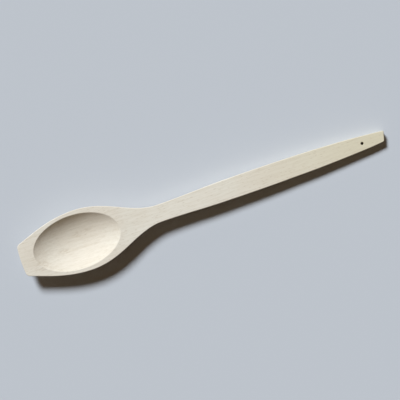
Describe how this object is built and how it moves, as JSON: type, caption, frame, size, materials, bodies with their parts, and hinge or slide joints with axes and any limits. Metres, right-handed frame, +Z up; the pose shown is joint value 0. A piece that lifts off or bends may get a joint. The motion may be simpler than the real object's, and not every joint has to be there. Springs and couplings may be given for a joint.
{
  "type": "wooden spoon",
  "caption": "Flat-topped wooden cooking spoon with a square-tipped oval bowl, a narrow neck, a long tapering handle and a drilled hanging hole.",
  "frame": {"origin": "on the table that the spoon lies on, under the middle of its length and width", "axes": "+X from the bowl's tip to the handle's tail, +Y across the spoon, +Z up from the table"},
  "size_m": [0.3014, 0.049, 0.0156],
  "materials": {
    "beech": "bare sanded beech, matt, with fine grain along the length"
  },
  "bodies": {
    "root": {"spoon": "beech"}
  },
  "joints": []
}
